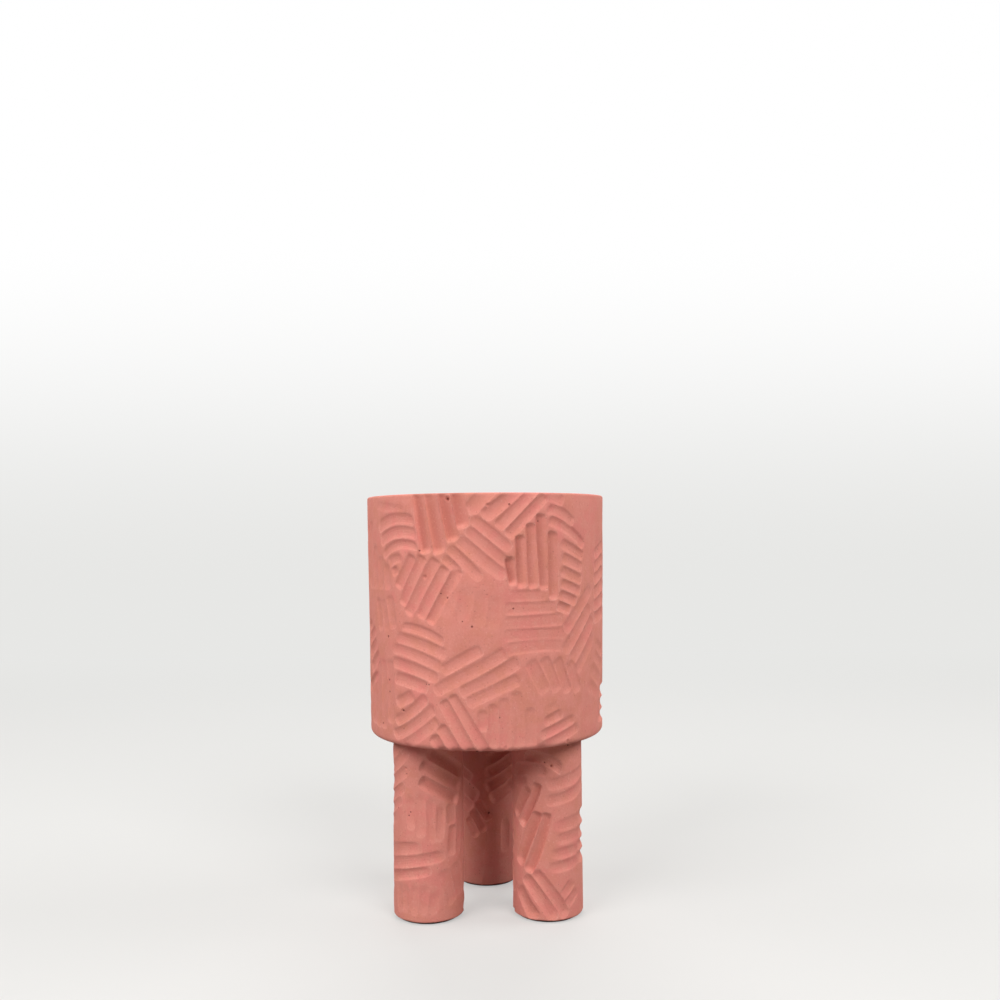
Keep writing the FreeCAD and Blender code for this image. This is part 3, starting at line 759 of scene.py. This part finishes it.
class Finish:
    # a material's or the world's node tree, built by expressions
    def __init__(self, name, owner=None):
        self.material = owner or bpy.data.materials.new(name)
        self.material.use_nodes = True
        self.tree = self.material.node_tree
        self.tree.nodes.clear()
        self.place = self.wire("ShaderNodeTexCoord", {}, {}, "Object")

    def node(self, kind, settings, inputs):
        node = self.tree.nodes.new(kind)
        for name, value in settings.items():
            setattr(node, name, value)
        for name, value in inputs.items():
            if isinstance(value, Wire):
                self.tree.links.new(value.socket, node.inputs[name])
            else:
                node.inputs[name].default_value = value
        return node

    def wire(self, kind, settings, inputs, output=0):
        return Wire(self, self.node(kind, settings, inputs).outputs[output])

    def noise(self, size, detail, rough, distortion=0.0):
        # size is a blotch's width in millimetres
        return self.wire("ShaderNodeTexNoise", {}, {
            "Vector": self.place, "Scale": 1 / (size * mm), "Detail": detail, "Roughness": rough,
            "Distortion": distortion})

    def cells(self, size):
        # size is a cell's width in millimetres; gives the distance and a random number for each cell
        node = self.node("ShaderNodeTexVoronoi", {}, {"Vector": self.place, "Scale": 1 / (size * mm)})
        number = self.wire("ShaderNodeSeparateColor", {}, {0: Wire(self, node.outputs["Color"])})
        return Wire(self, node.outputs["Distance"]), number

    def streaks(self, vector, detail):
        return self.wire("ShaderNodeTexNoise", {}, {"Vector": vector, "Scale": 1.0, "Detail": detail})

    def vectorMaths(self, operation, *values, output=0):
        return self.wire("ShaderNodeVectorMath", {"operation": operation}, dict(enumerate(values)), output)

    def awayFrom(self, point, way):
        # the distance to a line: the length of the cross product of an offset and the line's unit vector
        offset = self.vectorMaths("SUBTRACT", self.place, tuple(point))
        square = self.vectorMaths("CROSS_PRODUCT", offset, tuple(way))
        return self.vectorMaths("LENGTH", square, output="Value")

    def band(self, value, low, high, start=0.0, end=1.0):
        # goes from start to end as the value goes from low to high, and stays level beyond
        return self.wire("ShaderNodeMapRange", {"interpolation_type": "SMOOTHSTEP"}, {
            "Value": value, "From Min": low, "From Max": high, "To Min": start, "To Max": end})

    def blend(self, share, first, second):
        # the Mix node's colour sockets have these numbers
        return self.wire("ShaderNodeMix", {"data_type": "RGBA", "clamp_factor": True}, {
            0: share, 6: first, 7: second}, 2)

    def seen(self):
        # 1 on rays from the camera and on what metal or glass would show of it
        path = self.node("ShaderNodeLightPath", {}, {})
        rays = [Wire(self, path.outputs[f"Is {kind} Ray"]) for kind in ("Camera", "Glossy", "Transmission")]
        return sum(rays).least(1.0)

    def mixShader(self, share, first, second):
        return self.wire("ShaderNodeMixShader", {}, {0: share, 1: first, 2: second})

    def attribute(self, name):
        return self.wire("ShaderNodeAttribute", {"attribute_name": name}, {}, "Fac")

    def close(self, height, sockets):
        # height is the relief in millimetres
        normal = self.wire("ShaderNodeBump", {}, {"Height": height, "Distance": mm, "Strength": 1.0})
        shader = self.wire("ShaderNodeBsdfPrincipled", {}, {**sockets, "Normal": normal})
        self.node("ShaderNodeOutputMaterial", {}, {"Surface": shader})
        return self.material


def paint(red, green, blue):
    # a colour given as it looks on a screen, 0 to 255, made linear
    share = np.array([red, green, blue]) / 255
    linear = np.where(share <= 0.04045, share / 12.92, ((share + 0.055) / 1.055) ** 2.4)
    return (*[float(value) for value in linear], 1.0)


def poreLines():
    # Each small bubble as a point on the wall's nominal surface, the way out of the wall there, and a radius.
    walls = [(potPores, potShape["rimRadius"], (0, 0))]
    walls += [(pores, legShape["radius"], legCentre(name)) for name, pores in legPores.items()]
    return [(ring(wallRadius, height, angle, centre) * mm, ring(1, 0, angle), radius * mm)
            for pores, wallRadius, centre in walls for angle, height, radius in pores]


# noise is its width in millimetres, detail and roughness; a band is from, to, and its values at the two
# where they aren't 0 and 1; heights are in millimetres
concreteLook = {
    "warm": paint(215, 137, 120),
    "pink": paint(220, 134, 124),
    "body": paint(219, 140, 127),
    # pale ridges: partly rubbed dust, partly a painted highlight
    "dustAndHighlight": paint(231, 160, 146),
    # painted shade for the deep floors of the grooves
    "paintedShade": paint(190, 108, 95),
    "grainPale": paint(238, 190, 174),
    "grainDark": paint(160, 90, 78),
    # painted shade inside the pits and bubbles
    "pit": paint(128, 66, 56),
    "noises": {"cloud": (26, 3, 0.55), "blotch": (7, 4, 0.6), "fine": (1.1, 3, 0.65), "swell": (3.2, 3, 0.6),
               "dust": (0.4, 2, 0.6)},
    "pinkBand": (0.4, 0.62), "bodyBand": (0.4, 0.6),
    "ridgeBand": (0.6, 0.25), "ridgeMarkBand": (0.35, 0.95), "dustAndHighlightBand": (0.35, 0.65, 0.35, 0.75),
    "paintedShadeBand": (1.25, 2.9, 0.0, 0.75),
    "grainPaleBand": (0.55, 0.75), "grainDarkBand": (0.44, 0.25), "grainShare": 0.26,
    "sandSize": 1.3, "sandBand": (0.36, 0.2), "sandPaleBand": (0.985, 0.995), "sandDarkBand": (0.05, 0.03),
    "sandPaleShare": 0.25, "sandDarkShare": 0.35,
    "pitSpacing": 6.5, "pitSizeBand": (0.6, 1.0, 0.0, 0.08), "pitEdgeBand": (0.0, -0.045), "poreEdge": 0.6,
    "pitShadeShare": 0.75,
    "streakAcross": 1.5, "streakAlong": 0.07, "streakDetail": 2.0, "streakMiddle": 0.5,
    "fineHeight": 0.08, "swellHeight": 0.12, "dustHeight": 0.03, "streakHeight": 0.16, "pitHeight": 0.35,
    "roughness": (0.3, 0.7, 0.84, 0.96), "specular": 0.25,
}


def makeConcrete():
    look, finish = concreteLook, Finish("cast concrete")
    groove, across, along, mark = (finish.attribute(name) for name in wallValues)
    cloud, blotch, fine, swell, dust = (finish.noise(*noise) for noise in look["noises"].values())
    # the cast colour, pale ridges that are partly dust and partly a painted highlight, painted shade in the
    # deep groove floors, pale and dark grains
    base = finish.blend(finish.band(cloud, *look["pinkBand"]), look["warm"], look["pink"])
    base = finish.blend(finish.band(blotch, *look["bodyBand"]), base, look["body"])
    ridge = finish.band(groove, *look["ridgeBand"]) * finish.band(mark, *look["ridgeMarkBand"])
    # the ridges are coloured paler: partly dust, partly a painted highlight where light catches them
    base = finish.blend(ridge * finish.band(blotch, *look["dustAndHighlightBand"]), base, look["dustAndHighlight"])
    # painted shade: the deeper a groove, the darker its floor is coloured, as shade would darken it
    base = finish.blend(finish.band(groove, *look["paintedShadeBand"]), base, look["paintedShade"])
    for tone in ("grainPale", "grainDark"):
        base = finish.blend(finish.band(fine, *look[tone + "Band"]) * look["grainShare"], base, look[tone])
    sandDistance, sand = finish.cells(look["sandSize"])
    grain = finish.band(sandDistance, *look["sandBand"])
    for tone in ("Pale", "Dark"):
        share = finish.band(sand, *look[f"sand{tone}Band"]) * look[f"sand{tone}Share"]
        base = finish.blend(grain * share, base, look["grain" + tone])
    # scattered pits, and the bubbles that are listed
    pitDistance, pitNumber = finish.cells(look["pitSpacing"])
    pit = finish.band(pitDistance - finish.band(pitNumber, *look["pitSizeBand"]), *look["pitEdgeBand"])
    for point, way, radius in poreLines():
        pit = pit.most(finish.band(finish.awayFrom(point, way), radius, radius * look["poreEdge"]))
    # painted shade: the pits and bubbles are coloured dark, as shade inside them would be
    base = finish.blend(pit * look["pitShadeShare"], base, look["pit"])
    # the tool's streaks run along each stroke
    stroke = {0: across * look["streakAcross"], 1: along * look["streakAlong"]}
    streak = finish.streaks(finish.wire("ShaderNodeCombineXYZ", {}, stroke), look["streakDetail"])
    height = (fine * look["fineHeight"] + swell * look["swellHeight"] + dust * look["dustHeight"]
              + (streak - look["streakMiddle"]) * mark * look["streakHeight"] - pit * look["pitHeight"])
    return finish.close(height, {"Base Color": base, "Roughness": finish.band(fine, *look["roughness"]),
                                 "Specular IOR Level": look["specular"]})


# the plainer finishes: each layer is a noise, its band, how much of the colour it lays on, and the colour;
# the roughness is a noise and its band, and the relief is a height in millimetres for each noise
plainLooks = {
    "mortar": {
        "noises": {"blotch": (4, 4, 0.6), "fine": (0.7, 3, 0.7)},
        "body": paint(176, 104, 92),
        "layers": [("blotch", (0.35, 0.65), 1.0, paint(196, 124, 110)),
                   ("fine", (0.6, 0.8), 0.4, paint(225, 185, 170)),
                   ("fine", (0.4, 0.25), 0.4, paint(120, 66, 56))],
        "roughness": ("fine", (0.3, 0.7, 0.88, 1.0)),
        "relief": {"fine": 0.12, "blotch": 0.25},
        "shader": {"Specular IOR Level": 0.2},
    },
    "foot felt": {
        "noises": {"fibre": (0.35, 3, 0.7, 1.6), "clump": (2.2, 3, 0.6)},
        "body": paint(52, 43, 41),
        "layers": [("fibre", (0.35, 0.7), 1.0, paint(94, 79, 75)),
                   ("clump", (0.45, 0.7), 0.4, paint(96, 78, 73))],
        "roughness": ("fibre", (0.3, 0.7, 0.88, 1.0)),
        "relief": {"fibre": 0.16, "clump": 0.1},
        "shader": {"Specular IOR Level": 0.1, "Sheen Weight": 0.35, "Sheen Roughness": 0.5},
    },
    "plug rubber": {
        "noises": {"bloom": (6, 3, 0.6), "fine": (0.5, 2, 0.6)},
        "body": paint(44, 44, 44),
        "layers": [("bloom", (0.35, 0.7), 1.0, paint(62, 61, 59))],
        "roughness": ("bloom", (0.3, 0.7, 0.5, 0.68)),
        "relief": {"fine": 0.025},
        "shader": {"Specular IOR Level": 0.4},
    },
}


def makePlain(name):
    look, finish = plainLooks[name], Finish(name)
    noises = {key: finish.noise(*noise) for key, noise in look["noises"].items()}
    base = look["body"]
    for key, band, share, colour in look["layers"]:
        base = finish.blend(finish.band(noises[key], *band) * share, base, colour)
    roughNoise, roughBand = look["roughness"]
    return finish.close(sum(noises[key] * height for key, height in look["relief"].items()), {
        "Base Color": base, "Roughness": finish.band(noises[roughNoise], *roughBand), **look["shader"]})


# drawn bar: fine lines along its length, and a little surface rust
steelLook = {
    "dark": paint(150, 148, 145),
    "light": paint(192, 190, 186),
    "rust": paint(122, 74, 46),
    "linesPerMetre": (2500, 2500, 60), "lineDetail": 3.0, "lineHeight": 0.02,
    "rustNoise": (5, 4, 0.7), "rustBand": (0.58, 0.72), "rustShare": 0.8, "rustHeight": 0.03,
    "metalLost": 0.85, "roughness": (0.3, 0.7, 0.3, 0.48), "rustRoughness": 0.4,
}


def makeSteel():
    look, finish = steelLook, Finish("pin steel")
    drawn = finish.wire("ShaderNodeMapping", {}, {"Vector": finish.place, "Scale": look["linesPerMetre"]})
    lines = finish.streaks(drawn, look["lineDetail"])
    rust = finish.band(finish.noise(*look["rustNoise"]), *look["rustBand"])
    base = finish.blend(lines, look["dark"], look["light"])
    return finish.close(lines * look["lineHeight"] + rust * look["rustHeight"], {
        "Base Color": finish.blend(rust * look["rustShare"], base, look["rust"]),
        "Metallic": 1.0 - rust * look["metalLost"],
        "Roughness": finish.band(lines, *look["roughness"]) + rust * look["rustRoughness"]})


rng = np.random.default_rng(20)
concrete, felt = makeConcrete(), makePlain("foot felt")
print("materials made")


def putOn(piece, node):
    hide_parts(node)
    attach(piece, "planter")


putOn(buildPot(concrete, rng), "pot")
for name in legTurns:
    putOn(buildLeg(name, concrete, rng), f"{name}_leg")
    putOn(buildPad(name, felt, rng), f"{name}_foot_pad")

# the nodes whose CAD shape stays get a finish of their own
mortar, steel = makePlain("mortar"), makeSteel()
keptNodes = {f"{name}_mortar_bed": mortar for name in legTurns}
keptNodes.update({f"{name}_anchor_pin": steel for name in legTurns}, drain_plug=makePlain("plug rubber"))
for name, material in keptNodes.items():
    nodes[name].data.materials.clear()
    nodes[name].data.materials.append(material)
print("pieces in place")


# stage, light and camera, in metres

# a floor that sweeps up into a wall behind
stageShape = {
    "halfWidth": 4.0, "front": -3.0, "back": 1.3, "sweep": 0.7, "height": 3.5,
    "floorPoints": 12, "sweepPoints": 24,
    "openFront": 0.6, "openSide": 0.7,    # the floor's own tone starts here, to the front and the sides
    "openBand": (0.12, 1.2), "heightBand": (0.1, 1.0),
    "colour": (0.66, 0.66, 0.65, 1),
    "near": (0.81, 0.805, 0.79, 1), "nearShare": 0.5,
    "bounce": (0.235, 0.225, 0.215, 1),
    "far": (0.80, 0.80, 0.785, 1),
    "high": (1, 1, 1, 1),
}


def buildStage():
    # A floor profile, flat, then a quarter circle, then a wall, carried straight from side to side.
    shape = stageShape
    turn = np.linspace(0, math.pi / 2, shape["sweepPoints"])
    floor = np.linspace(shape["front"], shape["back"], shape["floorPoints"])[:-1]
    wallY = shape["back"] + shape["sweep"]
    y = np.concatenate([floor, shape["back"] + shape["sweep"] * np.sin(turn), [wallY]])
    z = np.concatenate([floor * 0, shape["sweep"] * (1 - np.cos(turn)), [shape["height"]]])
    x = np.array([-1.0, 1.0])[None, :] * shape["halfWidth"]
    points = np.stack(np.broadcast_arrays(x, y[:, None], z[:, None]), -1).reshape(-1, 3)
    low = np.arange(len(y) - 1) * 2
    faces = np.stack([low, low + 1, low + 3, low + 2], 1)
    mesh = bpy.data.meshes.new("backdrop")
    mesh.from_pydata(points.tolist(), [], faces.tolist())
    mesh.polygons.foreach_set("use_smooth", np.ones(len(faces), bool))
    mesh.materials.append(makePaper())
    piece = bpy.data.objects.new("backdrop", mesh)
    bpy.context.scene.collection.objects.link(piece)


def makePaper():
    # To the camera, the far floor and the wall show their own pale tone, whatever light reaches them.
    shape, finish = stageShape, Finish("backdrop paper")
    across, back, height = (finish.wire("ShaderNodeSeparateXYZ", {}, {0: finish.place}, axis)
                            for axis in range(3))
    reach = back.most(back * -1 - shape["openFront"]).most(across.most(across * -1) - shape["openSide"])
    tone = finish.blend(finish.band(height, *shape["heightBand"]), shape["far"], shape["high"])
    glow = finish.wire("ShaderNodeEmission", {}, {"Color": tone})
    near = finish.wire("ShaderNodeEmission", {}, {"Color": shape["near"]})
    paper = finish.wire("ShaderNodeBsdfDiffuse", {}, {"Color": shape["colour"]})
    dull = finish.wire("ShaderNodeBsdfDiffuse", {}, {"Color": shape["bounce"]})
    seen = finish.seen()
    paper = finish.mixShader(seen, dull, finish.mixShader(shape["nearShare"], paper, near))
    mixed = finish.mixShader(finish.band(reach, *shape["openBand"]) * seen, paper, glow)
    # seen from below, the floor is clear, so that the piece's underside shows
    behind = finish.wire("ShaderNodeNewGeometry", {}, {}, "Backfacing")
    mixed = finish.mixShader(behind * seen, mixed, finish.wire("ShaderNodeBsdfTransparent", {}, {}))
    finish.node("ShaderNodeOutputMaterial", {}, {"Surface": mixed})
    return finish.material


lamps = {
    # turn from the front and height in degrees, distance, width, height, strength, colour
    "key": (-44, 36, 1.9, 1.1, 0.8, 0.66, (1.0, 0.985, 0.97)),
    "right": (29, 39, 1.9, 0.9, 0.9, 0.58, (1.0, 0.99, 0.975)),
    "leftSide": (-92, 40, 1.9, 0.9, 0.9, 0.25, (1.0, 0.99, 0.98)),
    "rightSide": (92, 36, 1.9, 0.9, 0.9, 0.4, (1.0, 0.995, 0.985)),
    "back": (178, 48, 1.9, 1.4, 0.9, 0.55, (1.0, 0.99, 0.98)),
}
aimHeight = 0.13
worldLook = {"Color": (1, 0.995, 0.985, 1), "Strength": 0.025}
# the place, tilt and focal length were fitted to the photo; the angles are in degrees
cameraView = {
    "place": (-0.0041, -0.602, 0.2168), "lookUp": 2.0, "turn": -1.24, "roll": -0.48,
    "focalPixels": 996.5, "imagePixels": 1000, "sensorWidth": 36.0,
}


def setLamps():
    # A strength of 1 lights a white wall that faces the lamp to white: its watts are (pi * distance) squared.
    for name, (turn, height, distance, width, tall, strength, colour) in lamps.items():
        lamp = bpy.data.lights.new(name, "AREA")
        lamp.shape, lamp.size, lamp.size_y = "RECTANGLE", width, tall
        lamp.energy, lamp.color = strength * (math.pi * distance) ** 2, colour
        piece = bpy.data.objects.new(name, lamp)
        turn, height = math.radians(turn), math.radians(height)
        level = math.cos(height)
        backward = np.array([math.sin(turn) * level, -math.cos(turn) * level, math.sin(height)])
        place = backward * distance + (0, 0, aimHeight)
        piece.matrix_world = Matrix.Translation(place) @ facingMatrix(backward)
        bpy.context.scene.collection.objects.link(piece)


def facingMatrix(backward):
    # An upright turn whose third axis is the given way.
    third = backward / np.linalg.norm(backward)
    first = np.cross((0, 0, 1), third)
    first = first / np.linalg.norm(first)
    second = np.cross(third, first)
    return Matrix(np.stack([first, second, third], 1).tolist()).to_4x4()


def setWorld():
    # faint even light; white to the camera on the sides that the backdrop leaves open
    world = bpy.data.worlds.new("soft room")
    finish = Finish("soft room", world)
    light = finish.wire("ShaderNodeBackground", {}, worldLook)
    shown = finish.wire("ShaderNodeBackground", {}, {"Color": stageShape["high"], "Strength": 1.0})
    finish.node("ShaderNodeOutputWorld", {}, {"Surface": finish.mixShader(finish.seen(), light, shown)})
    bpy.context.scene.world = world


def setCamera():
    view = cameraView
    camera = bpy.data.cameras.new("camera")
    camera.sensor_width = view["sensorWidth"]
    camera.lens = camera.sensor_width * view["focalPixels"] / view["imagePixels"]
    piece = bpy.data.objects.new("camera", camera)
    piece.matrix_world = (Matrix.Translation(view["place"])
                          @ Matrix.Rotation(math.radians(view["turn"]), 4, "Z")
                          @ Matrix.Rotation(math.radians(90 + view["lookUp"]), 4, "X")
                          @ Matrix.Rotation(math.radians(view["roll"]), 4, "Z"))
    bpy.context.scene.collection.objects.link(piece)
    bpy.context.scene.camera = piece


buildStage()
setLamps()
setWorld()
setCamera()
bpy.context.scene.view_settings.view_transform = "Standard"
print("stage, lights and camera set")
